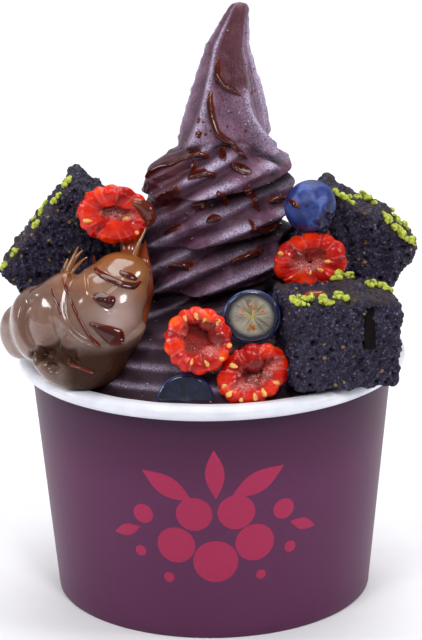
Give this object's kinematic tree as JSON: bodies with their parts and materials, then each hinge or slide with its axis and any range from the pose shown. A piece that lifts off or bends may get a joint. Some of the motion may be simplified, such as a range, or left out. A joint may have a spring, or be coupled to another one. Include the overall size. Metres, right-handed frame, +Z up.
{
  "type": "acai bowl",
  "caption": "Round paper bowl heaped with wound purple soft-serve acai that ends in a tall peak, topped with brownie pieces, berries and chocolate cream.",
  "frame": {"origin": "on the bowl's axis at the table, under the middle of the object", "axes": "+Z up along the bowl's axis, -Y towards the front of the bowl, +X to its right"},
  "size_m": [0.1219, 0.115, 0.1775],
  "materials": {
    "printed_paper": "satin print on paper board",
    "plain_paper": "matte coated paper board",
    "acai_soft_serve": "satin frozen acai with frost",
    "hazelnut_cream": "glossy chocolate hazelnut cream",
    "dark_chocolate": "glossy dark chocolate",
    "brownie": "rough dark crumb",
    "raspberry": "wet juicy fruit",
    "blueberry_skin": "waxy bloom on skin",
    "blueberry_flesh": "wet cut fruit",
    "pistachio": "chopped raw pistachio",
    "berry_seed": "hard seed under juice",
    "syrup": "clear dark syrup",
    "spot_ink": "satin crimson ink on paper"
  },
  "bodies": {
    "root": {"bowl_wall": "printed_paper", "bowl_bottom": "plain_paper", "acai_swirl": "acai_soft_serve", "chocolate_cream": "hazelnut_cream", "chocolate_chunk": "dark_chocolate", "brownie_left": "brownie", "brownie_back_right": "brownie", "brownie_front_right": "brownie", "raspberry_left": "raspberry", "raspberry_right": "raspberry", "raspberry_front_left": "raspberry", "raspberry_front_right": "raspberry", "blueberry_whole": "blueberry_skin", "blueberry_tucked": "blueberry_skin", "blueberry_half_center": "blueberry_flesh", "blueberry_half_rim": "blueberry_flesh"}
  },
  "joints": []
}
